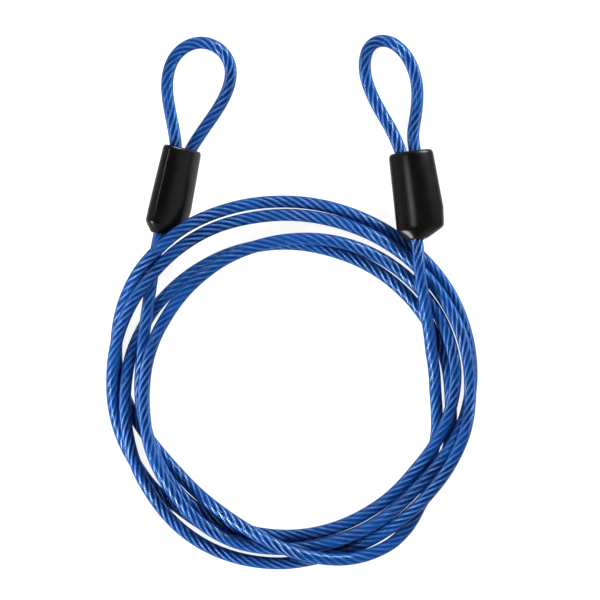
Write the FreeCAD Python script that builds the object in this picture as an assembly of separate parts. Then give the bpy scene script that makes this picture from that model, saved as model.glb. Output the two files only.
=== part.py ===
import FreeCAD, Part
import math
import os

# A double-eye security cable: a coated wire rope lying in a loose coil, with a crimped eye at each end.
# Millimetres and degrees. +Z is up, the cable lies on the floor at Z = 0, and +Y runs from the coil
# to the eyes.

# Cable
jacket_diameter = 5.0
jacket_wall = 0.5
rope_slack = 0.15          # between the rope and the jacket's bore, all round
least_gap_wanted = 0.4     # between two stretches of the cable where they cross

# Crimped ferrule, with two passages side by side: the live leg's and the dead leg's
leg_pitch = 5.3
ferrule_length = 16.0
ferrule_wall = 1.5
passage_slack = 0.05       # between the rope and the ferrule's passage, all round

# Moulded sleeve over the ferrule, an oval in section, measured from its foot, where the main cable enters.
# The two offsets are of a section's middle from the sleeve's axis, towards the cable's side.
sleeve_length = 36.0
sleeve_foot_width = 8.2    # the foot is a narrow oval round the cable, off the sleeve's axis
sleeve_foot_thickness = 6.8
sleeve_foot_offset = -2.5
sleeve_ring_height = 4.0   # where the bevelled foot ends
sleeve_ring_width = 19.2
sleeve_ring_thickness = 10.0
sleeve_ring_offset = -0.5
sleeve_belly_height = 12.0
sleeve_belly_width = 20.0
sleeve_belly_thickness = 10.4
sleeve_mouth_width = 18.2
sleeve_mouth_thickness = 9.8
sleeve_rim_round = 0.6
edge_share = 0.68          # radius of the oval's edges, as a share of its half thickness
ferrule_height = 7.0       # from the sleeve's foot to the ferrule
sleeve_slack = 0.15        # between the sleeve and what lies in it
mouth_slack = 0.35         # round the legs where they leave the sleeve

# Coil: its middle, and the straight cable below a sleeve's foot and above its ferrule
coil_x = -0.1
coil_y = -34.1
straight_past_foot = 3.0
straight_past_ferrule = 5.0
station_step = 7.5         # degrees of turn between two stations of the coil's centre line

# Where the two sleeves lie, from the coil's middle to the foot of each sleeve's axis; a lean is to the side,
# a tilt is of the mouth upwards, and a roll is about the sleeve's own axis
left_foot = (-51.4, 61.35, 8.0)
left_lean = -11.8
left_tilt = -0.75
left_roll = 40.0
left_live_spread = 0.7     # how far each leg moves outwards between the ferrule and the mouth
left_dead_spread = 1.15
right_foot = (53.7, 59.7, 10.2)
right_lean = 8.1
right_tilt = -8.2
right_roll = 0.0
right_live_spread = 1.05
right_dead_spread = -0.95

# The coil's turns, followed from the left sleeve round to the right one: turn in degrees counter-clockwise
# from +X and counted on through the laps, radius from the coil's middle, and height of the centre line.
coil_places = [
    (157, 64.2, 8.9), (163, 62.8, 9.2), (168, 61.7, 8.8), (174, 61.3, 7.6), (182, 61.3, 7.0),
    (192, 61.4, 7.6), (200, 61.6, 8.2), (207, 61.9, 8.2), (220, 62.8, 7.3), (228, 63.0, 6.8),
    (236, 62.7, 6.4), (245, 61.9, 6.2), (257, 61.4, 6.1), (275, 60.5, 5.4), (290, 60.0, 4.8),
    (300, 59.9, 4.7), (310, 60.1, 4.9), (320, 60.4, 5.5), (326, 61.0, 6.4), (330, 61.6, 7.5),
    (335, 62.5, 8.0), (340, 63.5, 8.15), (354, 65.2, 8.15),

    (367, 66.6, 7.8), (380, 66.4, 6.5), (405, 64.4, 4.6), (430, 61.8, 6.1), (450, 59.6, 8.0),
    (465, 58.5, 8.15), (480, 58.0, 8.15), (490, 57.7, 8.2), (500, 57.7, 9.4), (510, 57.8, 11.2),
    (520, 58.4, 12.9), (527, 58.8, 13.4), (542, 59.7, 12.7), (552, 60.6, 13.3), (560, 61.8, 13.75),
    (571, 63.1, 13.7), (585, 64.4, 12.7), (592, 65.3, 11.9), (600, 66.4, 10.5), (610, 67.2, 8.8),
    (622, 66.7, 8.15), (632, 65.8, 8.15), (645, 65.0, 8.15), (670, 65.0, 8.15), (678, 65.4, 8.15),
    (685, 66.3, 8.15), (697, 68.8, 8.2), (702, 70.1, 8.1), (706, 71.1, 6.6), (711, 72.1, 4.4),
    (716, 72.9, 3.1),

    (722, 73.6, 2.6), (735, 74.5, 2.6), (750, 75.0, 2.6), (785, 74.2, 2.6), (810, 75.0, 2.8),
    (830, 76.4, 7.6), (847, 77.5, 14.1), (855, 77.6, 15.1), (861, 77.5, 13.6), (870, 76.7, 9.5),
    (875, 75.9, 7.6), (885, 73.7, 4.6), (895, 71.0, 2.8), (904, 67.7, 2.6), (920, 62.0, 2.6),
    (930, 59.2, 2.6), (940, 57.6, 4.3), (947, 57.4, 6.2), (956, 57.8, 9.2), (962, 58.5, 10.6),
    (970, 60.0, 12.2), (977, 61.9, 13.2), (984, 64.3, 13.6), (991, 67.3, 13.6),
    (997, 69.7, 12.8), (1004, 72.6, 10.3), (1011, 74.9, 7.5), (1017, 75.9, 5.8),
    (1022, 76.3, 4.2), (1030, 74.7, 2.6), (1039, 71.3, 2.6), (1045, 70.6, 2.6), (1053, 69.7, 2.6),
    (1060, 68.7, 2.6), (1066, 67.3, 2.6), (1070, 66.2, 2.6), (1075, 65.3, 2.6),

    (1090, 63.8, 2.6), (1108, 61.1, 2.6), (1130, 58.8, 2.6), (1155, 57.4, 2.6), (1178, 58.2, 2.6),
    (1200, 59.9, 2.6), (1225, 63.0, 2.6), (1232, 64.1, 2.8), (1237, 64.6, 3.4), (1243, 65.5, 4.1),
    (1250, 66.6, 5.7), (1257, 67.2, 7.5), (1261, 67.6, 8.1), (1280, 69.7, 8.1), (1290, 71.1, 8.1),
    (1295, 71.5, 8.0), (1301, 72.2, 7.2), (1305, 72.7, 6.2), (1312, 73.5, 4.0), (1322, 73.9, 2.6),
    (1345, 72.9, 2.6), (1361, 71.4, 2.6), (1370, 70.9, 2.8), (1376, 70.9, 3.4), (1382, 70.4, 4.6),
    (1390, 70.5, 7.0), (1398, 70.8, 9.4), (1405, 71.2, 10.6), (1410, 71.7, 11.4), (1420, 72.5, 12.6),
    (1425, 72.9, 12.6), (1430, 73.1, 11.2), (1435, 73.2, 9.3),

    (1442, 73.2, 8.15), (1455, 72.8, 8.0), (1470, 71.4, 6.8), (1483, 70.6, 6.15), (1499, 69.8, 5.8),
    (1515, 69.3, 4.9), (1530, 69.6, 4.5), (1540, 70.0, 4.8), (1560, 71.4, 9.5), (1575, 71.9, 13.6),
    (1583, 72.2, 14.6), (1590, 72.9, 13.8), (1595, 73.2, 13.1), (1605, 73.6, 10.9), (1615, 73.4, 8.5),
    (1625, 73.1, 5.6), (1635, 72.3, 3.4), (1648, 70.7, 2.6), (1657, 69.8, 2.6), (1668, 67.3, 2.6),
    (1680, 66.4, 2.6), (1695, 65.8, 2.6), (1725, 65.3, 2.6), (1755, 65.3, 2.6), (1765, 65.1, 2.6),
    (1770, 64.5, 2.6), (1780, 62.9, 2.6), (1790, 60.3, 2.6), (1800, 58.7, 3.5), (1812, 58.6, 6.5),
    (1822, 60.4, 9.0),
]

# Free cable between the coil and the sleeves, from the coil's middle
lead_in_places = [(-55.3, 52.2, 9.1), (-56.4, 44.2, 8.7), (-57.8, 34.6, 8.8)]
lead_out_places = [(54.3, 33.5, 11.1), (52.7, 43.0, 11.9), (51.8, 50.0, 11.5)]

# The eyes' centre lines, followed from the live leg round to the dead leg: X and Y from the middle of the
# sleeve's mouth, and height above the floor
left_eye_places = [
    (-3.5, 7.3, 9.6), (-5.15, 15.4, 9.1), (-6.45, 23.5, 8.4), (-6.0, 30.8, 7.3), (-3.7, 37.1, 6.1),
    (1.2, 41.9, 4.8), (8.2, 43.7, 3.6), (15.2, 41.0, 2.8), (19.3, 35.0, 2.6), (19.6, 28.4, 2.6),
    (17.3, 21.5, 2.6), (13.5, 15.0, 2.7), (8.9, 8.5, 3.3),
]
right_eye_places = [
    (-7.5, 8.8, 4.0), (-10.9, 14.5, 3.1), (-14.2, 20.3, 2.7), (-16.7, 25.9, 2.6), (-18.3, 31.0, 2.6),
    (-18.7, 35.3, 2.6), (-18.4, 39.1, 2.6), (-17.2, 42.6, 2.6), (-14.6, 45.1, 2.6), (-11.0, 45.8, 2.6),
    (-7.3, 44.8, 2.6), (-3.9, 42.2, 2.6), (-0.9, 38.5, 2.6), (1.2, 34.0, 2.6), (2.7, 28.3, 2.7),
    (2.9, 21.6, 3.1), (2.1, 14.4, 3.7), (0.8, 7.4, 4.3),
]

jacket_bore = jacket_diameter - 2 * jacket_wall
rope_diameter = jacket_bore - 2 * rope_slack
passage_diameter = rope_diameter + 2 * passage_slack
ferrule_thickness = passage_diameter + 2 * ferrule_wall
live_leg_x = -leg_pitch / 2
dead_leg_x = leg_pitch / 2
ferrule_top = ferrule_height + ferrule_length
legs_straight_to = ferrule_top + straight_past_ferrule
straight_enough = 1e-4     # a bend whose corner lies this near its chord is drawn as a line
sample_step = 1.5          # along the centre line, for the gap between stretches
apart_along = 20.0         # stretches nearer than this along the cable are neighbours, not a crossing

os.makedirs("parts", exist_ok=True)


def vector(place):
    """A point given from the coil's middle, in the part's own frame."""
    return FreeCAD.Vector(coil_x + place[0], coil_y + place[1], place[2])


def sleeve_frame(foot, lean, tilt, roll):
    """The sleeve's own frame: Y runs from its foot to its mouth, X along its width."""
    x_axis = FreeCAD.Vector(1, 0, 0)
    y_axis = FreeCAD.Vector(0, 1, 0)
    z_axis = FreeCAD.Vector(0, 0, 1)
    turned = FreeCAD.Rotation(z_axis, lean)
    tilted = FreeCAD.Rotation(x_axis, tilt)
    rolled = FreeCAD.Rotation(y_axis, roll)
    return FreeCAD.Placement(vector(foot), turned * tilted * rolled)


left_frame = sleeve_frame(left_foot, left_lean, left_tilt, left_roll)
right_frame = sleeve_frame(right_foot, right_lean, right_tilt, right_roll)


def along(frame, x, y):
    """A point in the middle plane of a sleeve, x off its axis and y from its foot."""
    return frame.multVec(FreeCAD.Vector(x, y, 0))


def eased(rows, turn, column):
    """A column's value at a turn: a smooth curve through the rows that never overshoots one."""
    last = len(rows) - 1
    i = 0
    while i < last - 1 and rows[i + 1][0] < turn:
        i = i + 1
    steps = []
    slopes = []
    for k in range(max(i - 1, 0), min(i + 2, last)):
        step = rows[k + 1][0] - rows[k][0]
        steps.append(step)
        slopes.append((rows[k + 1][column] - rows[k][column]) / step)
    here = i - max(i - 1, 0)

    def slope_between(k):
        if k < 0 or k + 1 >= len(slopes):
            return slopes[here]
        if slopes[k] * slopes[k + 1] <= 0:
            return 0.0
        first = 2 * steps[k + 1] + steps[k]
        second = steps[k + 1] + 2 * steps[k]
        return (first + second) / (first / slopes[k] + second / slopes[k + 1])

    start_slope = slope_between(here - 1)
    end_slope = slope_between(here)
    step = steps[here]
    share = (turn - rows[i][0]) / step
    rest = 1 - share
    start = rows[i][column]
    end = rows[i + 1][column]
    value = start * rest * rest * (1 + 2 * share) + end * share * share * (3 - 2 * share)
    return value + step * share * rest * (start_slope * rest - end_slope * share)


def coil_stations():
    """Points on the coil's centre line, evenly spaced in turn."""
    first = coil_places[0][0]
    last = coil_places[-1][0]
    count = round((last - first) / station_step)
    points = []
    for k in range(count + 1):
        turn = first + (last - first) * k / count
        radius = eased(coil_places, turn, 1)
        height = eased(coil_places, turn, 2)
        angle = math.radians(turn)
        points.append(vector((radius * math.cos(angle), radius * math.sin(angle), height)))
    return points


def directions(points, start, end):
    """The centre line's direction at each point, with the first and last given."""
    result = [start]
    for k in range(1, len(points) - 1):
        before = points[k] - points[k - 1]
        after = points[k + 1] - points[k]
        way = before.multiply(after.Length ** 2 / before.Length ** 2) + after
        result.append(way.normalize())
    result.append(end)
    return result


def round_edge(start, corner, end):
    """The arc from start to end that is tangent to the two legs of a corner, or a line where it is flat."""
    middle = (start + end) * 0.5
    to_corner = corner - middle
    if to_corner.Length < straight_enough:
        return Part.makeLine(start, end)
    half_chord = (end - start).Length / 2
    half_turn = math.atan2(to_corner.Length, half_chord)
    rise = half_chord * math.tan(half_turn / 2)
    return Part.Arc(start, middle + to_corner.normalize() * rise, end).toShape()


def biarc(start, start_way, end, end_way):
    """Two tangent arcs from one point and direction to the next."""
    chord = end - start
    both = start_way + end_way
    a = 2 * (1 - start_way.dot(end_way))
    b = chord.dot(both)
    c = chord.dot(chord)
    if a < straight_enough ** 2:
        reach = c / (2 * b)
    else:
        reach = (math.sqrt(b * b + a * c) - b) / a
    first_corner = start + start_way * reach
    second_corner = end - end_way * reach
    meeting = (first_corner + second_corner) * 0.5
    return [round_edge(start, first_corner, meeting), round_edge(meeting, second_corner, end)]


def bends(points, start_way, end_way):
    """Biarcs through the points."""
    ways = directions(points, start_way, end_way)
    edges = []
    for k in range(len(points) - 1):
        edges.extend(biarc(points[k], ways[k], points[k + 1], ways[k + 1]))
    return edges


def tube(edges, diameter):
    """A round solid along a line of tangent edges."""
    start = edges[0].valueAt(edges[0].FirstParameter)
    way = edges[0].tangentAt(edges[0].FirstParameter)
    section = Part.Wire(Part.makeCircle(diameter / 2, start, way))
    return Part.Wire(edges).makePipeShell([section], True, False)


def hollow_tube(edges, diameter, bore):
    """A round tube with its bore."""
    return tube(edges, diameter).cut(tube(edges, bore))


def run_length(edges):
    """Length of a line of edges."""
    return sum(edge.Length for edge in edges)


def main_line():
    """The main cable's centre line, from the left ferrule's foot through the coil to the right one's."""
    start = along(left_frame, live_leg_x, ferrule_height)
    start_bend = along(left_frame, live_leg_x, -straight_past_foot)
    end_bend = along(right_frame, live_leg_x, -straight_past_foot)
    end = along(right_frame, live_leg_x, ferrule_height)
    points = [start_bend]
    points.extend(vector(place) for place in lead_in_places)
    points.extend(coil_stations())
    points.extend(vector(place) for place in lead_out_places)
    points.append(end_bend)
    start_way = (start_bend - start).normalize()
    end_way = (end - end_bend).normalize()
    bent = bends(points, start_way, end_way)
    return [Part.makeLine(start, start_bend)] + bent + [Part.makeLine(end_bend, end)]


def eye_line(frame, places, live_spread, dead_spread, legs_start):
    """An eye's centre line, out of the live passage and back into the dead one.

    Each leg begins at legs_start, measured from the sleeve's foot.
    """
    live_start = along(frame, live_leg_x, legs_start)
    live_bend = along(frame, live_leg_x, legs_straight_to)
    dead_bend = along(frame, dead_leg_x, legs_straight_to)
    dead_end = along(frame, dead_leg_x, legs_start)
    mouth = along(frame, 0, sleeve_length)
    points = [live_bend, along(frame, live_leg_x - live_spread, sleeve_length)]
    for x, y, height in places:
        points.append(FreeCAD.Vector(mouth.x + x, mouth.y + y, height))
    points.extend([along(frame, dead_leg_x + dead_spread, sleeve_length), dead_bend])
    start_way = (live_bend - live_start).normalize()
    end_way = (dead_end - dead_bend).normalize()
    bent = bends(points, start_way, end_way)
    return [Part.makeLine(live_start, live_bend)] + bent + [Part.makeLine(dead_bend, dead_end)]


def oval(offset, width, thickness, height):
    """A sleeve section: an oval of four tangent arcs in the X-Z plane, at a height along Y."""
    half_width = width / 2
    half_thickness = thickness / 2
    edge = edge_share * half_thickness
    reach = half_width - edge
    broad = (reach ** 2 + half_thickness ** 2 - edge ** 2) / (2 * (half_thickness - edge))
    drop = broad - half_thickness
    joint_x = reach + edge * reach / math.hypot(reach, drop)
    joint_z = edge * drop / math.hypot(reach, drop)
    joints = [(joint_x, joint_z), (-joint_x, joint_z), (-joint_x, -joint_z), (joint_x, -joint_z)]
    middles = [(0, half_thickness), (-half_width, 0), (0, -half_thickness), (half_width, 0)]
    arcs = []
    for k in range(4):
        ends = [joints[k], middles[k], joints[(k + 1) % 4]]
        start, middle, end = [FreeCAD.Vector(offset + x, height, z) for x, z in ends]
        arcs.append(Part.Arc(start, middle, end).toShape())
    return Part.Wire(arcs)


def slot(left_x, right_x, thickness, height):
    """A straight-sided slot with round ends in the X-Z plane, at a height along Y."""
    radius = thickness / 2
    left = left_x + radius
    right = right_x - radius
    corners = [
        FreeCAD.Vector(left, height, radius), FreeCAD.Vector(left, height, -radius),
        FreeCAD.Vector(right, height, -radius), FreeCAD.Vector(right, height, radius),
    ]
    left_end = Part.Arc(corners[0], FreeCAD.Vector(left_x, height, 0), corners[1]).toShape()
    right_end = Part.Arc(corners[2], FreeCAD.Vector(right_x, height, 0), corners[3]).toShape()
    near = Part.makeLine(corners[1], corners[2])
    far = Part.makeLine(corners[3], corners[0])
    return Part.Wire([left_end, near, right_end, far])


def bar(wire, length):
    """A wire in the X-Z plane, filled and drawn out along Y."""
    return Part.Face(wire).extrude(FreeCAD.Vector(0, length, 0))


def rod(x, start, end, diameter):
    """A round bar along Y."""
    return Part.makeCylinder(diameter / 2, end - start, FreeCAD.Vector(x, start, 0), FreeCAD.Vector(0, 1, 0))


def ferrule():
    """The crimped block, with a passage for each leg of the rope."""
    left = live_leg_x - ferrule_thickness / 2
    right = dead_leg_x + ferrule_thickness / 2
    block = bar(slot(left, right, ferrule_thickness, ferrule_height), ferrule_length)
    for x in (live_leg_x, dead_leg_x):
        block = block.cut(rod(x, ferrule_height, ferrule_top, passage_diameter))
    return block


def sleeve_body():
    """The sleeve's outer shape: a bevelled foot, a slight belly and a taper to the rounded mouth."""
    rim_width = sleeve_mouth_width - 2 * sleeve_rim_round
    rim_thickness = sleeve_mouth_thickness - 2 * sleeve_rim_round
    sections = [
        (sleeve_foot_offset, sleeve_foot_width, sleeve_foot_thickness, 0.0),
        (sleeve_ring_offset, sleeve_ring_width, sleeve_ring_thickness, sleeve_ring_height),
        (0.0, sleeve_belly_width, sleeve_belly_thickness, sleeve_belly_height),
        (0.0, sleeve_mouth_width, sleeve_mouth_thickness, sleeve_length - sleeve_rim_round),
        (0.0, rim_width, rim_thickness, sleeve_length),
    ]
    return Part.makeLoft([oval(*section) for section in sections], True, True)


def sleeve():
    """The moulded sleeve, hollow for the ferrule, with one hole at its foot and a slot at its mouth."""
    hole = jacket_diameter + 2 * sleeve_slack
    pocket_thickness = ferrule_thickness + 2 * sleeve_slack
    pocket_left = live_leg_x - pocket_thickness / 2
    pocket_right = dead_leg_x + pocket_thickness / 2
    pocket_foot = ferrule_height - sleeve_slack
    pocket_top = ferrule_top + sleeve_slack
    pocket = bar(slot(pocket_left, pocket_right, pocket_thickness, pocket_foot), pocket_top - pocket_foot)
    throat = slot(live_leg_x - hole / 2, dead_leg_x + hole / 2, hole, pocket_top)
    waist = slot(live_leg_x - hole / 2, dead_leg_x + hole / 2, hole, legs_straight_to)
    leg_room = jacket_diameter / 2 + mouth_slack
    mouth_left = live_leg_x - max(left_live_spread, right_live_spread) - leg_room
    mouth_right = dead_leg_x + max(left_dead_spread, right_dead_spread) + leg_room
    mouth = slot(mouth_left, mouth_right, 2 * leg_room, sleeve_length)
    body = sleeve_body()
    body = body.cut(pocket)
    body = body.cut(rod(live_leg_x, 0.0, pocket_foot, hole))
    body = body.cut(Part.makeLoft([throat, waist, mouth], True, True))
    return body


def placed(shape, frame):
    """A copy of a piece, moved from the sleeve's own frame to where it lies."""
    moved = shape.copy()
    moved.Placement = frame
    return moved


def report_bends(name, edges):
    """Prints a line's length and its tightest bends."""
    radii = sorted(edge.Curve.Radius for edge in edges if isinstance(edge.Curve, Part.Circle))
    tightest = ", ".join("%.1f" % radius for radius in radii[:6])
    length = run_length(edges)
    print("%s: %.1f mm long, %d arcs, tightest radii %s mm" % (name, length, len(radii), tightest))


def report_volume(name, solid, edges, area):
    """Prints a tube's volume beside its section times its length."""
    print("%s: volume %.1f mm3, section x length %.1f mm3" % (name, solid.Volume, area * run_length(edges)))


def least_gap(edges):
    """The least gap between two stretches of one cable that aren't neighbours, from points on its line."""
    points = []
    run = 0.0
    for edge in edges:
        count = math.ceil(edge.Length / sample_step)
        width = (edge.LastParameter - edge.FirstParameter) / count
        for k in range(count):
            point = edge.valueAt(edge.FirstParameter + k * width)
            points.append((point.x, point.y, point.z, run + edge.Length * k / count))
        run = run + edge.Length
    least = run
    for i in range(len(points)):
        for j in range(i):
            if points[i][3] - points[j][3] > apart_along:
                least = min(least, math.dist(points[i][:3], points[j][:3]))
    return least - jacket_diameter


def ring_area(outer, inner):
    """Area between two circles."""
    return math.pi * (outer ** 2 - inner ** 2) / 4


def write(name, shape):
    """Writes one piece to its own file."""
    shape.exportStep("parts/" + name + ".step")
    box = shape.BoundBox
    print("%-18s valid %s solids %d lowest %.3f" % (name, shape.isValid(), len(shape.Solids), box.ZMin))


jacket_area = ring_area(jacket_diameter, jacket_bore)
rope_area = ring_area(rope_diameter, 0.0)
main = main_line()
main_jacket = hollow_tube(main, jacket_diameter, jacket_bore)
main_rope = tube(main, rope_diameter)
write("jacket_main", main_jacket)
write("rope_main", main_rope)
report_bends("main cable", main)
report_volume("jacket_main", main_jacket, main, jacket_area)
report_volume("rope_main", main_rope, main, rope_area)
print("least gap of the coil to itself: %.2f mm, wanted over %.2f mm" % (least_gap(main), least_gap_wanted))

ferrule_shape = ferrule()
sleeve_shape = sleeve()
left_eye = ("left", left_frame, left_eye_places, left_live_spread, left_dead_spread)
right_eye = ("right", right_frame, right_eye_places, right_live_spread, right_dead_spread)
for side, frame, places, live_spread, dead_spread in (left_eye, right_eye):
    write("ferrule_" + side, placed(ferrule_shape, frame))
    write("sleeve_" + side, placed(sleeve_shape, frame))
    jacket_line = eye_line(frame, places, live_spread, dead_spread, ferrule_top)
    rope_line = eye_line(frame, places, live_spread, dead_spread, ferrule_height)
    eye_jacket = hollow_tube(jacket_line, jacket_diameter, jacket_bore)
    eye_rope = tube(rope_line, rope_diameter)
    write("jacket_eye_" + side, eye_jacket)
    write("rope_eye_" + side, eye_rope)
    report_bends(side + " eye", jacket_line)
    report_volume("jacket_eye_" + side, eye_jacket, jacket_line, jacket_area)
    report_volume("rope_eye_" + side, eye_rope, rope_line, rope_area)
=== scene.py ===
import math

import bpy
import numpy as np
from mathutils import Matrix, Vector


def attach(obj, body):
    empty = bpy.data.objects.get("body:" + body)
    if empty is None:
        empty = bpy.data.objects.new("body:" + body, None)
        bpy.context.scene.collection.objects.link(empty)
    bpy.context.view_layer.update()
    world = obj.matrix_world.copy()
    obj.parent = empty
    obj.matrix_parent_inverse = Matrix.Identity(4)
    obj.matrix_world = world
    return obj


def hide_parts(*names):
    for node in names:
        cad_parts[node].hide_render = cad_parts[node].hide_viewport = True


# A double-eye security cable in a loose coil on a white ground, seen from straight above.
# Sizes are in millimetres and degrees, and go to metres where an object is made.
# +Z is up, and +Y runs from the coil to the eyes.
mm = 0.001

# The picture: its middle, and how wide a stretch it shows at the height of focus
picture_middle = (3.56, 0.83)
picture_width = 243.9
focus_height = 7.0
lens_length = 250.0
sensor_width = 36.0

# Cable
jacket_diameter = 5.0
jacket_sides = 24
jacket_rings = 5               # rings of the jacket's tube for each point of its route
jacket_shine = 0.5             # as a share of what clear plastic reflects
rope_diameter = 3.7
seen_rope_diameter = 4.92      # through the jacket, which bends light and so widens the rope
strand_count = 6
strand_marks = (-1.0, -0.6, -0.3, 0.0, 0.3, 0.6)  # on a strand's arc, from groove to groove
lay_length = 25.5              # of one turn of the strands round the rope
wire_count = 40                # wires side by side round the rope
line_marks = 14                # points on the rope's line for each point of its route
ring_step = 0.85               # between two rings of the strands' mesh
rope_sharp_angle = 70
outline_length = 4.3           # round the strands, in rope diameters, for the bake map's rows
row_margin = 0.02              # left free on each side of such a row, as a share of it

# Ferrule and its two legs
leg_pitch = 5.3
ferrule_length = 16.0
ferrule_height = 7.0           # of its foot above the sleeve's foot

# Sleeve
sleeve_length = 36.0
# Its sections from the foot to the mouth: height above the foot, offset, width and thickness
sleeve_sections = [
    (0.0, -2.5, 7.5, 6.2), (0.2, -2.45, 8.4, 6.8), (0.6, -2.2, 9.8, 7.25), (2.0, -1.5, 13.7, 8.4),
    (3.4, -0.8, 17.5, 9.5), (4.0, -0.6, 18.7, 9.85), (4.7, -0.5, 19.3, 10.0), (6.5, -0.35, 19.6, 10.12),
    (9.0, -0.2, 19.8, 10.25), (12.0, 0.0, 20.0, 10.4), (20.0, 0.0, 19.4, 10.2), (28.0, 0.0, 18.8, 10.0),
    (34.2, 0.0, 18.3, 9.83), (35.0, 0.0, 18.1, 9.7), (35.6, 0.0, 17.6, 9.3), (36.0, 0.0, 16.8, 8.5),
]
edge_share = 0.68              # radius of the oval's edges, as a share of its half thickness
oval_steps = 12                # points on each of the oval's four arcs
foot_hole = 5.2
foot_hole_depth = 4.5
foot_rim = 0.4                 # bevel of the hole's edge
mouth_slot = (-6.4, 6.6, 5.6)  # its two ends along the sleeve's width, and its thickness
mouth_slot_depth = 9.0
mouth_rim = 0.2                # bevel of the slot's edge
sleeve_sharp_angle = 50
straight_past_foot = 3.0       # straight cable below the sleeve's foot
straight_past_ferrule = 5.0    # and above its ferrule

# Coil: its middle, and the step between two points of its route, in degrees of turn
coil_x = -0.1
coil_y = -34.1
station_step = 3.75

# Where the sleeves lie, from the coil's middle to the foot of each sleeve's axis. A lean is to the
# side, a tilt is of the mouth upwards, and a roll is about the sleeve's own axis. A spread is how
# far a leg has gone outwards at the mouth.
left_foot = (-51.4, 61.35, 8.0)
left_lean = -11.8
left_tilt = -0.75
left_roll = 40.0
left_live_spread = 0.7
left_dead_spread = 1.15
right_foot = (53.7, 59.7, 10.2)
right_lean = 8.1
right_tilt = -8.2
right_roll = 0.0
right_live_spread = 1.05
right_dead_spread = -0.95

# The coil's turns, followed from the left sleeve round to the right one: turn in degrees
# counter-clockwise from +X and counted on through the laps, radius from the coil's middle, and
# height of the centre line above the floor.
coil_places = [
    (157, 64.2, 8.9), (163, 62.8, 9.2), (168, 61.7, 8.8), (174, 61.3, 7.6), (182, 61.3, 7.0),
    (192, 61.4, 7.6), (200, 61.6, 8.2), (207, 61.9, 8.2), (220, 62.8, 7.3), (228, 63.0, 6.8),
    (236, 62.7, 6.4), (245, 61.9, 6.2), (257, 61.4, 6.1), (275, 60.8, 5.4), (290, 60.4, 4.8),
    (300, 60.3, 4.7), (310, 60.5, 4.9), (320, 60.7, 5.5), (326, 61.0, 6.4), (330, 61.6, 7.5),
    (335, 62.5, 8.0), (340, 63.5, 8.15), (354, 65.8, 8.15),

    (367, 67.2, 7.8), (380, 66.9, 6.5), (405, 64.6, 4.6), (430, 61.8, 6.1), (450, 59.6, 8.0),
    (465, 58.5, 8.15), (480, 58.0, 8.15), (490, 57.7, 8.2), (500, 57.7, 9.4), (510, 57.8, 11.2),
    (520, 58.4, 12.9), (527, 58.8, 13.4), (542, 59.7, 12.7), (552, 60.6, 13.3), (560, 61.8, 13.75),
    (571, 63.1, 13.7), (585, 64.8, 12.7), (592, 65.9, 11.9), (600, 66.9, 10.5), (610, 67.4, 8.8),
    (622, 66.7, 8.15), (632, 66.0, 8.15), (645, 65.7, 8.15), (670, 65.5, 8.15), (678, 65.65, 8.15),
    (685, 66.3, 8.15), (697, 68.8, 8.2), (702, 70.1, 8.1), (706, 71.1, 6.6), (711, 72.1, 4.4),
    (716, 72.9, 3.1),

    (722, 73.6, 2.6), (735, 74.5, 2.6), (750, 75.0, 2.6), (785, 74.2, 2.6), (810, 75.0, 2.8),
    (830, 76.4, 7.6), (847, 77.5, 14.1), (855, 77.3, 15.1), (861, 77.3, 13.6), (870, 76.5, 9.5),
    (875, 75.7, 7.6), (885, 73.5, 4.6), (895, 71.0, 2.8), (904, 67.7, 2.6), (920, 62.0, 2.6),
    (930, 59.4, 2.6), (940, 58.0, 4.3), (947, 57.8, 6.2), (956, 58.0, 9.2), (962, 58.6, 10.6),
    (970, 60.0, 12.2), (977, 61.9, 13.2), (984, 64.3, 13.6), (991, 67.3, 13.6), (997, 69.7, 12.8),
    (1004, 72.6, 10.3), (1011, 74.9, 7.5), (1017, 75.9, 5.8), (1022, 76.3, 4.2), (1030, 74.7, 2.6),
    (1039, 71.3, 2.6), (1045, 70.6, 2.6), (1053, 69.7, 2.6), (1060, 68.7, 2.6), (1066, 67.3, 2.6),
    (1070, 66.2, 2.6), (1075, 65.3, 2.6),

    (1090, 63.8, 2.6), (1108, 61.1, 2.6), (1130, 58.8, 2.6), (1155, 57.4, 2.6), (1178, 58.2, 2.6),
    (1200, 59.9, 2.6), (1225, 63.0, 2.6), (1232, 64.1, 2.8), (1237, 64.6, 3.4), (1243, 65.5, 4.1),
    (1250, 66.4, 5.7), (1257, 66.9, 7.5), (1261, 67.3, 8.1), (1280, 69.7, 8.1), (1290, 71.1, 8.1),
    (1295, 71.5, 8.0), (1301, 72.2, 7.2), (1305, 72.7, 6.2), (1312, 73.5, 4.0), (1322, 73.9, 2.6),
    (1345, 72.7, 2.6), (1361, 71.0, 2.6), (1370, 70.75, 2.8), (1376, 70.75, 3.4), (1382, 70.6, 4.6),
    (1390, 70.6, 7.0), (1398, 70.8, 9.4), (1405, 71.2, 10.6), (1410, 71.7, 11.4), (1420, 72.5, 12.6),
    (1425, 72.9, 12.6), (1430, 73.0, 11.2), (1435, 72.9, 9.3),

    (1442, 72.8, 8.15), (1455, 72.5, 8.0), (1470, 71.4, 6.8), (1483, 70.6, 6.15), (1499, 69.8, 5.8),
    (1515, 69.3, 4.9), (1530, 69.6, 4.5), (1540, 70.0, 4.8), (1560, 71.6, 9.5), (1575, 72.1, 13.6),
    (1583, 72.2, 14.6), (1590, 72.6, 13.8), (1595, 72.8, 13.1), (1605, 73.0, 10.9), (1615, 72.8, 8.5),
    (1625, 72.7, 5.6), (1635, 72.2, 3.4), (1648, 70.7, 2.6), (1657, 69.8, 2.6), (1668, 67.6, 2.6),
    (1680, 66.9, 2.6), (1695, 66.0, 2.6), (1725, 65.6, 2.6), (1755, 65.6, 2.6), (1765, 65.2, 2.6),
    (1770, 64.5, 2.6), (1780, 62.9, 2.6), (1790, 60.3, 2.6), (1800, 58.7, 3.5), (1812, 58.6, 6.5),
    (1822, 60.4, 9.0),
]

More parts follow.
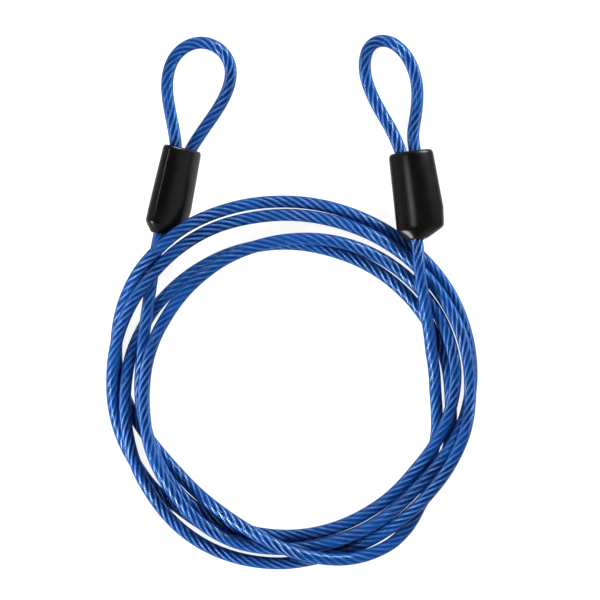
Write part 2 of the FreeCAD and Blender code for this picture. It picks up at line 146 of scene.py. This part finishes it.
# Free cable between the coil and the sleeves, from the coil's middle
lead_in_places = [(-55.3, 52.2, 9.1), (-56.4, 44.2, 8.7), (-57.8, 34.6, 8.8)]
lead_out_places = [(54.3, 33.5, 11.1), (52.7, 43.0, 11.9), (51.8, 50.0, 11.5)]

# The eyes' centre lines, followed from the live leg, which comes from the coil, round to the dead
# leg: X and Y from the middle of the sleeve's mouth, and height above the floor
left_eye_places = [
    (-3.5, 7.3, 9.6), (-5.15, 15.4, 9.1), (-6.45, 23.5, 8.4), (-6.0, 30.8, 7.3), (-3.7, 37.1, 6.1),
    (1.2, 41.9, 4.8), (8.2, 43.7, 3.6), (15.2, 41.0, 2.8), (19.3, 35.0, 2.6), (19.6, 28.4, 2.6),
    (17.3, 21.5, 2.6), (13.5, 15.0, 2.7), (8.9, 8.5, 3.3),
]
right_eye_places = [
    (-7.5, 8.8, 4.0), (-10.9, 14.5, 3.1), (-14.2, 20.3, 2.7), (-16.7, 25.9, 2.6), (-18.3, 31.0, 2.6),
    (-18.7, 35.3, 2.6), (-18.4, 39.1, 2.6), (-17.2, 42.6, 2.6), (-14.6, 45.1, 2.6), (-11.0, 45.8, 2.6),
    (-7.3, 44.8, 2.6), (-3.9, 42.2, 2.6), (-0.9, 38.5, 2.6), (1.2, 34.0, 2.6), (2.7, 28.3, 2.7),
    (2.9, 21.6, 3.1), (2.1, 14.4, 3.7), (0.8, 7.4, 4.3),
]

# Colours, as linear red, green, blue and alpha
white = (1.0, 1.0, 1.0, 1.0)
black = (0.0, 0.0, 0.0, 1.0)
haze_colour = (0.006, 0.10, 0.44, 1.0)
shine_colour = (0.5, 0.75, 1.0, 1.0)
aluminium_colour = (0.72, 0.73, 0.74, 1.0)
ground_grey = (0.35, 0.35, 0.35, 1.0)

# Runs of colours, each with the place of its stops
# Painted shade in the grooves, rising to a painted highlight on the strands' crowns
groove_shade_crown_highlight = [             # from the grooves to the strands' crowns
    (0.0, (0.0005, 0.012, 0.08, 1.0)),
    (0.75, (0.002, 0.05, 0.24, 1.0)),
    (0.92, (0.035, 0.16, 0.45, 1.0)),
    (1.0, (0.28, 0.44, 0.7, 1.0)),
]
patch_colours = [              # what the strands' colour is multiplied by
    (0.3, (0.4, 0.62, 0.72, 1.0)),
    (0.5, (0.9, 0.9, 0.95, 1.0)),
    (0.7, (1.5, 1.1, 1.1, 1.0)),
]
coating_colours = [            # light let through, from the cable's middle to its edges
    (0.3, (0.84, 0.94, 1.0, 1.0)),
    (0.65, (0.05, 0.18, 0.5, 1.0)),
]
rubber_colours = [
    (0.3, (0.0008, 0.0008, 0.001, 1.0)),
    (0.7, (0.0028, 0.0026, 0.0026, 1.0)),
]
ceiling_colours = [            # from the walls' height up to straight above
    (0.55, white),
    (0.85, (0.1, 0.1, 0.1, 1.0)),
]

# Ground and light, in metres and watts
ground_reach = 3.0
ground_glow = 0.88
light_on_object = 0.45         # strength of the surround where it only lights the object
lamps = {                      # place, side of its square, and watts
    "lamp_left": ((-0.58, -0.54, 0.55), 0.35, 13.0),
    "lamp_back": ((0.5, 0.7, 0.4), 0.35, 11.5),
    "lamp_high": ((-0.3, 0.28, 0.92), 0.16, 1.2),
}

live_leg_x = -leg_pitch / 2
dead_leg_x = leg_pitch / 2
ferrule_top = ferrule_height + ferrule_length
legs_straight_to = ferrule_top + straight_past_ferrule

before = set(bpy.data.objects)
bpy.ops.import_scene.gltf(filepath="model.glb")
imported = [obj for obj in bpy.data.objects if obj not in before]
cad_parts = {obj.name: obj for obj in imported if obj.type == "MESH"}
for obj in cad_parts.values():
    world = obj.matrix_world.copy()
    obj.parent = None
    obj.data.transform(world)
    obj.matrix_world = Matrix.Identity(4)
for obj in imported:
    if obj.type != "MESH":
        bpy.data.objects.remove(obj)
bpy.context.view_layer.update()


def from_coil(place):
    """A point given from the coil's middle."""
    return Vector((coil_x + place[0], coil_y + place[1], place[2]))


def sleeve_frame(foot, lean, tilt, roll):
    """The sleeve's own frame: Y runs from its foot to its mouth, X along its width."""
    turned = Matrix.Rotation(math.radians(lean), 4, "Z")
    tilted = Matrix.Rotation(math.radians(tilt), 4, "X")
    rolled = Matrix.Rotation(math.radians(roll), 4, "Y")
    return Matrix.Translation(from_coil(foot)) @ turned @ tilted @ rolled


left_frame = sleeve_frame(left_foot, left_lean, left_tilt, left_roll)
right_frame = sleeve_frame(right_foot, right_lean, right_tilt, right_roll)


def along(sleeve, x, y):
    """A point in the middle plane of a sleeve, x off its axis and y from its foot."""
    return sleeve @ Vector((x, y, 0.0))


def metres(point):
    """A point in metres, as a tuple."""
    return tuple(point * mm)


def link(name, data):
    """A new object in the scene."""
    thing = bpy.data.objects.new(name, data)
    bpy.context.scene.collection.objects.link(thing)
    return thing


def make_camera():
    """A camera straight above, far enough that the heights of the coil hardly show."""
    data = bpy.data.cameras.new("camera")
    data.lens = lens_length
    data.sensor_width = sensor_width
    camera = link("camera", data)
    distance = picture_width * lens_length / sensor_width
    camera.location = metres(Vector((*picture_middle, focus_height + distance)))
    bpy.context.scene.camera = camera


def eased(rows, turn, column):
    """A column's value at a turn: a smooth curve through the rows that never overshoots one."""
    last = len(rows) - 1
    i = 0
    while i < last - 1 and rows[i + 1][0] < turn:
        i = i + 1
    steps = []
    slopes = []
    for k in range(max(i - 1, 0), min(i + 2, last)):
        step = rows[k + 1][0] - rows[k][0]
        steps.append(step)
        slopes.append((rows[k + 1][column] - rows[k][column]) / step)
    here = i - max(i - 1, 0)

    def slope_between(k):
        if k < 0 or k + 1 >= len(slopes):
            return slopes[here]
        if slopes[k] * slopes[k + 1] <= 0:
            return 0.0
        first = 2 * steps[k + 1] + steps[k]
        second = steps[k + 1] + 2 * steps[k]
        return (first + second) / (first / slopes[k] + second / slopes[k + 1])

    start_slope = slope_between(here - 1)
    end_slope = slope_between(here)
    step = steps[here]
    share = (turn - rows[i][0]) / step
    rest = 1 - share
    start = rows[i][column]
    end = rows[i + 1][column]
    value = start * rest * rest * (1 + 2 * share) + end * share * share * (3 - 2 * share)
    return value + step * share * rest * (start_slope * rest - end_slope * share)


def coil_route():
    """The coil's own points, evenly spaced in turn."""
    first = coil_places[0][0]
    last = coil_places[-1][0]
    count = round((last - first) / station_step)
    points = []
    for k in range(count + 1):
        turn = first + (last - first) * k / count
        radius = eased(coil_places, turn, 1)
        height = eased(coil_places, turn, 2)
        angle = math.radians(turn)
        points.append(from_coil((radius * math.cos(angle), radius * math.sin(angle), height)))
    return points


def main_route():
    """The main cable's route, from the left ferrule's foot through the coil to the right one's."""
    points = [along(left_frame, live_leg_x, ferrule_height)]
    points.append(along(left_frame, live_leg_x, -straight_past_foot))
    points.extend(from_coil(place) for place in lead_in_places)
    points.extend(coil_route())
    points.extend(from_coil(place) for place in lead_out_places)
    points.append(along(right_frame, live_leg_x, -straight_past_foot))
    points.append(along(right_frame, live_leg_x, ferrule_height))
    return points


def eye_route(sleeve, places, live_spread, dead_spread, legs_start):
    """An eye's route, out of the live passage and back into the dead one."""
    mouth = along(sleeve, 0.0, sleeve_length)
    points = [along(sleeve, live_leg_x, legs_start), along(sleeve, live_leg_x, legs_straight_to)]
    points.append(along(sleeve, live_leg_x - live_spread, sleeve_length))
    for x, y, height in places:
        points.append(Vector((mouth.x + x, mouth.y + y, height)))
    points.append(along(sleeve, dead_leg_x + dead_spread, sleeve_length))
    points.append(along(sleeve, dead_leg_x, legs_straight_to))
    points.append(along(sleeve, dead_leg_x, legs_start))
    return points


def spline(name, route, resolution):
    """A curve with one NURBS spline whose control points are the route's points."""
    curve = bpy.data.curves.new(name, "CURVE")
    curve.dimensions = "3D"
    curve.resolution_u = resolution
    line = curve.splines.new("NURBS")
    line.points.add(len(route) - 1)
    for point, place in zip(line.points, route):
        point.co = (*metres(place), 1.0)
    line.order_u = 3
    line.use_endpoint_u = True
    return link(name, curve)


def jacket(name, route):
    """The coating: a round tube along the spline, with its radius held by the spline's points."""
    cable = spline(name, route, jacket_rings)
    for point in cable.data.splines[0].points:
        point.radius = jacket_diameter / 2 * mm
    cable.data.bevel_depth = 1.0
    # A round bevel has four sides more than twice its resolution
    cable.data.bevel_resolution = (jacket_sides - 4) // 2
    cable.data.use_fill_caps = True
    return cable


def line_points(route):
    """Points close together on the route's spline, in metres."""
    bare = spline("bare line", route, line_marks)
    mesh = bpy.data.meshes.new_from_object(bare)
    points = np.zeros(len(mesh.vertices) * 3)
    mesh.vertices.foreach_get("co", points)
    bpy.data.meshes.remove(mesh)
    bpy.data.curves.remove(bare.data)
    return points.reshape(-1, 3)


def evenly(points, step):
    """Points on the same line at even steps, and how far along it each one is."""
    run = np.concatenate([[0.0], np.cumsum(np.linalg.norm(np.diff(points, axis=0), axis=1))])
    count = int(round(run[-1] / step))
    marks = np.linspace(0.0, run[-1], count + 1)
    columns = [np.interp(marks, run, points[:, k]) for k in range(3)]
    return np.stack(columns, axis=1), marks


def strand_outline():
    """The outline of the rope's strands, once round: angle, and radius as a share of the rope's."""
    centre = 1 / (1 + math.sin(math.pi / strand_count))
    strand = 1 - centre
    groove = math.pi / 2 + math.pi / strand_count
    angles = []
    radii = []
    for k in range(strand_count):
        middle = 2 * math.pi * k / strand_count
        for share in strand_marks:
            x = centre + strand * math.cos(groove * share)
            y = strand * math.sin(groove * share)
            angles.append(middle + math.atan2(y, x))
            radii.append(math.hypot(x, y))
    return np.array(angles), np.array(radii)


def unit(vectors):
    """The same vectors, each one long."""
    return vectors / np.linalg.norm(vectors, axis=1, keepdims=True)


def strand_places(points, run, angles, shares, twist, thin_ends):
    """The strands' outline, set square to the rope's line at each of its points."""
    ways = unit(np.gradient(points, axis=0))
    across = unit(np.cross(ways, (0.0, 0.0, 1.0)))
    up = np.cross(across, ways)
    in_ferrule = np.minimum(run, run[-1] - run) < thin_ends * mm
    radius = np.where(in_ferrule, rope_diameter, seen_rope_diameter) / 2 * mm
    turned = angles[None, :] + twist[:, None]
    reach = radius[:, None] * shares[None, :]
    places = points[:, None, :] + up[:, None, :] * (reach * np.cos(turned))[:, :, None]
    return places + across[:, None, :] * (reach * np.sin(turned))[:, :, None]


def bridged(ring_count, round_count):
    """Faces between rings of the same number of points, each ring joined to the next."""
    faces = []
    for i in range(ring_count - 1):
        row = i * round_count
        for k in range(round_count):
            after = (k + 1) % round_count
            faces.append((row + k, row + after, row + round_count + after, row + round_count + k))
    return faces


def rope(name, route, thin_ends):
    """The wire rope: six strands laid right-handed, along the spline.

    thin_ends is how much of each end lies in a ferrule, where the rope has its own size.
    """
    points, run = evenly(line_points(route), ring_step * mm)
    angles, shares = strand_outline()
    twist = run / (lay_length * mm) * 2 * math.pi
    places = strand_places(points, run, angles, shares, twist, thin_ends)
    ring_count = len(points)
    round_count = len(angles)
    faces = bridged(ring_count, round_count)
    faces.append(tuple(reversed(range(round_count))))
    last_ring = (ring_count - 1) * round_count
    faces.append(tuple(range(last_ring, last_ring + round_count)))

    mesh = bpy.data.meshes.new(name)
    mesh.from_pydata(places.reshape(-1, 3).tolist(), [], faces)
    mesh.shade_smooth()
    mesh.set_sharp_from_angle(angle=math.radians(rope_sharp_angle))
    # How far out each point lies, which sets the painted groove shade and crown highlight
    crown = mesh.attributes.new("crown", "FLOAT", "POINT")
    deepest = shares.min()
    crown.data.foreach_set("value", np.tile((shares - deepest) / (1 - deepest), ring_count))
    wire_map(mesh, run, angles, twist)
    bake_map(mesh, ring_count, round_count)
    return link(name, mesh)


def wire_map(mesh, run, angles, twist):
    """A map for the wires: how far along the rope in metres, and how far round it in turns."""
    closed = np.append(angles, angles[0] + 2 * math.pi)
    turns = (closed[None, :] + twist[:, None]) / (2 * math.pi)
    place = np.stack([np.broadcast_to(run[:, None], turns.shape), turns], axis=2)
    corners = [place[:-1, :-1], place[:-1, 1:], place[1:, 1:], place[1:, :-1]]
    quads = np.stack(corners, axis=2).reshape(-1, 2)
    caps = np.concatenate([place[0, :-1][::-1], place[-1, :-1]])
    layer = mesh.uv_layers.new(name="lay")
    layer.data.foreach_set("uv", np.concatenate([quads, caps]).ravel())


def bake_map(mesh, ring_count, round_count):
    """A map that folds the whole rope into rows of one square."""
    quads = ring_count - 1
    rows = max(1, round(math.sqrt(quads * ring_step / (outline_length * rope_diameter))))
    per_row = math.ceil(quads / rows)
    ring = np.arange(quads)
    row = ring // per_row
    start = (ring % per_row) / per_row
    heights = np.linspace(row_margin, 1 - row_margin, round_count + 1)
    corners = []
    for du, dk in ((0, 0), (0, 1), (1, 1), (1, 0)):
        u = np.repeat(start + du / per_row, round_count)
        v = np.tile(heights[dk:dk + round_count], quads)
        corners.append(np.stack([u, (np.repeat(row, round_count) + v) / rows], axis=1))
    place = np.stack(corners, axis=1).reshape(-1, 2)
    caps = np.full((2 * round_count, 2), 0.5 / rows)
    layer = mesh.uv_layers.new(name="OFBake")
    layer.data.foreach_set("uv", np.concatenate([place, caps]).ravel())


make_camera()
main = main_route()
left_eye = (left_frame, left_eye_places, left_live_spread, left_dead_spread)
right_eye = (right_frame, right_eye_places, right_live_spread, right_dead_spread)
jackets = {
    "main": jacket("main_jacket", main),
    "eye_left": jacket("left_eye_jacket", eye_route(*left_eye, ferrule_top)),
    "eye_right": jacket("right_eye_jacket", eye_route(*right_eye, ferrule_top)),
}
ropes = {
    "main": rope("main_rope", main, 0.0),
    "eye_left": rope("left_eye_rope", eye_route(*left_eye, ferrule_height), ferrule_length),
    "eye_right": rope("right_eye_rope", eye_route(*right_eye, ferrule_height), ferrule_length),
}
for key, coating in jackets.items():
    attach(coating, "root")
    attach(ropes[key], "root")
    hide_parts("jacket_" + key)
    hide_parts("rope_" + key)


def new_material(name):
    """An empty node material, and its output node."""
    material = bpy.data.materials.new(name)
    material.use_nodes = True
    material.node_tree.nodes.clear()
    output = material.node_tree.nodes.new("ShaderNodeOutputMaterial")
    return material, output


def add(owner, kind, **inputs):
    """A node of a material or the world, with some of its inputs set by name."""
    node = owner.node_tree.nodes.new("ShaderNode" + kind)
    for name, value in inputs.items():
        node.inputs[name.replace("_", " ")].default_value = value
    return node


def join(owner, start, end):
    """A link from one socket to another."""
    owner.node_tree.links.new(start, end)


def ramp(owner, factor, stops):
    """A colour that follows a factor through (place, colour) stops."""
    node = add(owner, "ValToRGB")
    elements = node.color_ramp.elements
    elements[0].position, elements[0].color = stops[0]
    elements[1].position, elements[1].color = stops[-1]
    for place, colour in stops[1:-1]:
        elements.new(place).color = colour
    join(owner, factor, node.inputs["Fac"])
    return node.outputs["Color"]


def between(owner, factor, low, high, start=0.0, end=1.0):
    """A value that goes from low to high while a factor goes from start to end."""
    node = add(owner, "MapRange", From_Min=start, From_Max=end, To_Min=low, To_Max=high)
    join(owner, factor, node.inputs["Value"])
    return node.outputs["Result"]


def calculated(owner, operation, value, number=None):
    """A value put through an operation, with a number where it takes one."""
    node = add(owner, "Math")
    node.operation = operation
    join(owner, value, node.inputs[0])
    if number is not None:
        node.inputs[1].default_value = number
    return node.outputs["Value"]


def noise(owner, scale, detail):
    """A noise fixed to the object, with its scale in waves to the metre."""
    where = add(owner, "TexCoord")
    cloud = add(owner, "TexNoise", Scale=scale, Detail=detail)
    join(owner, where.outputs["Object"], cloud.inputs["Vector"])
    return cloud.outputs["Fac"]


def mixed(owner, factor, first, second):
    """Two shaders mixed, the second one as much as the factor says."""
    node = add(owner, "MixShader")
    join(owner, factor, node.inputs["Fac"])
    join(owner, first, node.inputs[1])
    join(owner, second, node.inputs[2])
    return node.outputs["Shader"]


def bumped(owner, shader, height, strength, distance):
    """Bumps on a shader's surface, from a height that stands for distance where it is 1."""
    bump = add(owner, "Bump", Strength=strength, Distance=distance)
    join(owner, height, bump.inputs["Height"])
    join(owner, bump.outputs["Normal"], shader.inputs["Normal"])


def strand_colour_with_painted_light(material):
    """The strands' colour, a little patchy, with painted shade in the grooves and a painted highlight on
    the crowns.
    """
    crown = add(material, "Attribute")
    crown.attribute_name = "crown"
    shade = add(material, "Mix")
    shade.data_type = "RGBA"
    shade.blend_type = "MULTIPLY"
    shade.inputs["Factor"].default_value = 1.0
    join(material, ramp(material, crown.outputs["Fac"], groove_shade_crown_highlight), shade.inputs["A"])
    patches = noise(material, scale=260.0, detail=3.0)
    join(material, ramp(material, patches, patch_colours), shade.inputs["B"])
    return shade.outputs["Result"]


def rope_material():
    """Steel strands as they look through blue, with painted shade in the grooves as deep blue and a
    painted highlight on the wires' crowns as light blue.
    """
    material, output = new_material("steel under blue")
    shader = add(
        material, "BsdfPrincipled", Metallic=0.25, Roughness=0.22, Specular_IOR_Level=0.6,
        Specular_Tint=(0.8, 0.9, 1.0, 1.0),
    )
    join(material, strand_colour_with_painted_light(material), shader.inputs["Base Color"])
    lay = add(material, "UVMap")
    lay.uv_map = "lay"
    parts = add(material, "SeparateXYZ")
    join(material, lay.outputs["UV"], parts.inputs["Vector"])
    turns = calculated(material, "MULTIPLY", parts.outputs["Y"], 2 * math.pi * wire_count)
    wires = calculated(material, "SINE", turns)
    bumped(material, shader, wires, strength=0.2, distance=0.12 * mm)
    join(material, shader.outputs["BSDF"], output.inputs["Surface"])
    return material


def jacket_material():
    """The clear blue coating: glossy, seen through, and a little hazy in places."""
    material, output = new_material("clear blue coating")
    clear = add(material, "BsdfTransparent")
    facing = add(material, "LayerWeight", Blend=0.4)
    depth = ramp(material, facing.outputs["Facing"], coating_colours)
    join(material, depth, clear.inputs["Color"])
    milk = add(material, "BsdfDiffuse", Color=haze_colour)
    cloud = noise(material, scale=55.0, detail=2.0)
    haze = between(material, cloud, low=0.02, high=0.35, start=0.35, end=0.65)
    body = mixed(material, haze, clear.outputs["BSDF"], milk.outputs["BSDF"])

    gloss = add(material, "BsdfGlossy", Color=shine_colour, Roughness=0.18)
    edge = add(material, "Fresnel", IOR=1.4)
    shine = calculated(material, "MULTIPLY", edge.outputs["Fac"], jacket_shine)
    coating = mixed(material, shine, body, gloss.outputs["BSDF"])
    join(material, coating, output.inputs["Surface"])
    return material


def sleeve_material():
    """Black moulded rubber with a faint grain and soft shine."""
    material, output = new_material("black moulded rubber")
    shader = add(material, "BsdfPrincipled", Specular_IOR_Level=0.18)
    cloud = noise(material, scale=180.0, detail=4.0)
    join(material, ramp(material, cloud, rubber_colours), shader.inputs["Base Color"])
    join(material, between(material, cloud, low=0.18, high=0.3), shader.inputs["Roughness"])
    grain = noise(material, scale=2600.0, detail=2.0)
    bumped(material, shader, grain, strength=0.15, distance=0.05 * mm)
    join(material, shader.outputs["BSDF"], output.inputs["Surface"])
    return material


def ferrule_material():
    """Pressed aluminium."""
    material, output = new_material("pressed aluminium")
    shader = add(material, "BsdfPrincipled", Metallic=1.0, Base_Color=aluminium_colour)
    cloud = noise(material, scale=900.0, detail=3.0)
    join(material, between(material, cloud, low=0.3, high=0.5), shader.inputs["Roughness"])
    join(material, shader.outputs["BSDF"], output.inputs["Surface"])
    return material


def oval_ring(offset, width, thickness, height):
    """Points on a sleeve section: an oval of four tangent arcs, counter-clockwise from +X."""
    half_thickness = thickness / 2
    edge = edge_share * half_thickness
    reach = width / 2 - edge
    broad = (reach ** 2 + half_thickness ** 2 - edge ** 2) / (2 * (half_thickness - edge))
    drop = broad - half_thickness
    turn = math.atan2(drop, reach)
    arcs = [
        (offset + reach, 0.0, edge, -turn, turn),
        (offset, -drop, broad, turn, math.pi - turn),
        (offset - reach, 0.0, edge, math.pi - turn, math.pi + turn),
        (offset, drop, broad, math.pi + turn, 2 * math.pi - turn),
    ]
    return ring_of(arcs, height)


def slot_ring(left, right, thickness, height):
    """Points on a slot with round ends, counter-clockwise from the lower end of its right arc."""
    radius = thickness / 2
    quarter = math.pi / 2
    ring = ring_of([(right - radius, 0.0, radius, -quarter, quarter)], height)
    ring.extend(run_between(ring[-1], (left + radius, radius), height))
    ring.extend(ring_of([(left + radius, 0.0, radius, quarter, 3 * quarter)], height))
    ring.extend(run_between(ring[-1], (right - radius, -radius), height))
    return ring


def run_between(start, end, height):
    """Points on a straight run, with start as the first one and end left out."""
    points = []
    for k in range(oval_steps):
        share = k / oval_steps
        x = start[0] + (end[0] - start[0]) * share
        z = start[2] + (end[1] - start[2]) * share
        points.append((x, height, z))
    return points


def ring_of(arcs, height):
    """Points on arcs given as middle, radius, and first and last angle."""
    ring = []
    for x, z, radius, first, last in arcs:
        for k in range(oval_steps):
            angle = first + (last - first) * k / oval_steps
            ring.append((x + radius * math.cos(angle), height, z + radius * math.sin(angle)))
    return ring


def circle_ring(x, diameter, height):
    """Points on a circle, as many as on an oval, counter-clockwise from the same side."""
    radius = diameter / 2
    eighth = math.pi / 4
    arcs = [(x, 0.0, radius, (2 * k - 1) * eighth, (2 * k + 1) * eighth) for k in range(4)]
    return ring_of(arcs, height)


def sleeve_rings():
    """The sleeve's rings of points, from inside its foot over its outside into its mouth."""
    rings = [
        circle_ring(live_leg_x, foot_hole, foot_hole_depth),
        circle_ring(live_leg_x, foot_hole, foot_rim),
        circle_ring(live_leg_x, foot_hole + 2 * foot_rim, 0.0),
    ]
    for height, offset, width, thickness in sleeve_sections:
        rings.append(oval_ring(offset, width, thickness, height))
    left, right, gap = mouth_slot
    rings.append(slot_ring(left - mouth_rim, right + mouth_rim, gap + 2 * mouth_rim, sleeve_length))
    rings.append(slot_ring(left, right, gap, sleeve_length - mouth_rim))
    rings.append(slot_ring(left, right, gap, sleeve_length - mouth_slot_depth))
    return rings


def sleeve(name, place):
    """The moulded sleeve: a bevelled foot, a slight belly, a taper to the rounded mouth and its slot."""
    rings = sleeve_rings()
    count = len(rings[0])
    faces = bridged(len(rings), count)
    faces.append(tuple(range(count)))
    last_ring = (len(rings) - 1) * count
    faces.append(tuple(reversed(range(last_ring, last_ring + count))))
    mesh = bpy.data.meshes.new(name)
    points = [metres(place @ Vector(point)) for ring in rings for point in ring]
    mesh.from_pydata(points, [], [tuple(reversed(face)) for face in faces])
    mesh.shade_smooth()
    mesh.set_sharp_from_angle(angle=math.radians(sleeve_sharp_angle))
    return link(name, mesh)


def seen_rays(owner):
    """1 for rays from the camera and in reflections and glass, and 0 for light on the object."""
    path = add(owner, "LightPath")
    total = path.outputs["Is Camera Ray"]
    for name in ("Is Glossy Ray", "Is Transmission Ray"):
        plus = add(owner, "Math")
        plus.operation = "MAXIMUM"
        join(owner, total, plus.inputs[0])
        join(owner, path.outputs[name], plus.inputs[1])
        total = plus.outputs["Value"]
    return total


def floor_material():
    """White ground: bright to the camera and in reflections, and it keeps the cable's shadow."""
    material, output = new_material("white ground")
    plain = add(material, "BsdfDiffuse", Color=ground_grey)
    glow = add(material, "Emission", Color=white, Strength=ground_glow)
    none = add(material, "Emission", Color=black, Strength=0.0)
    seen = mixed(material, seen_rays(material), none.outputs["Emission"], glow.outputs["Emission"])
    both = add(material, "AddShader")
    join(material, plain.outputs["BSDF"], both.inputs[0])
    join(material, seen, both.inputs[1])
    join(material, both.outputs["Shader"], output.inputs["Surface"])
    return material


def make_floor():
    """A wide plain floor under the cable."""
    reach = ground_reach
    corners = [(-reach, -reach, 0.0), (reach, -reach, 0.0), (reach, reach, 0.0), (-reach, reach, 0.0)]
    mesh = bpy.data.meshes.new("floor")
    mesh.from_pydata(corners, [], [(0, 1, 2, 3)])
    floor = link("floor", mesh)
    mesh.materials.append(floor_material())


def make_world():
    """White walls all round, and a dim ceiling."""
    world = bpy.data.worlds.new("surround")
    bpy.context.scene.world = world
    world.use_nodes = True
    background = world.node_tree.nodes["Background"]
    where = add(world, "TexCoord")
    parts = add(world, "SeparateXYZ")
    join(world, where.outputs["Generated"], parts.inputs["Vector"])
    join(world, ramp(world, parts.outputs["Z"], ceiling_colours), background.inputs["Color"])
    strength = between(world, seen_rays(world), low=light_on_object, high=1.0)
    join(world, strength, background.inputs["Strength"])


def make_lamps():
    """Soft square lamps that face the coil: lower left of the picture, behind the eyes, and above."""
    for name, (place, size, watts) in lamps.items():
        data = bpy.data.lights.new(name, "AREA")
        data.size = size
        data.energy = watts
        light = link(name, data)
        light.location = place
        light.rotation_mode = "QUATERNION"
        light.rotation_quaternion = (-Vector(place)).to_track_quat("-Z", "Y")


for coating in jackets.values():
    coating.data.materials.append(jacket_material())
for strands in ropes.values():
    strands.data.materials.append(rope_material())

sleeves = {
    "sleeve_left": sleeve("left_sleeve", left_frame),
    "sleeve_right": sleeve("right_sleeve", right_frame),
}
for node, moulding in sleeves.items():
    moulding.data.materials.append(sleeve_material())
    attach(moulding, "root")
    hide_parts(node)
for node in ("ferrule_left", "ferrule_right"):
    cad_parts[node].material_slots[0].material = ferrule_material()

make_floor()
make_world()
make_lamps()
bpy.context.scene.view_settings.view_transform = "Standard"

bpy.context.view_layer.update()
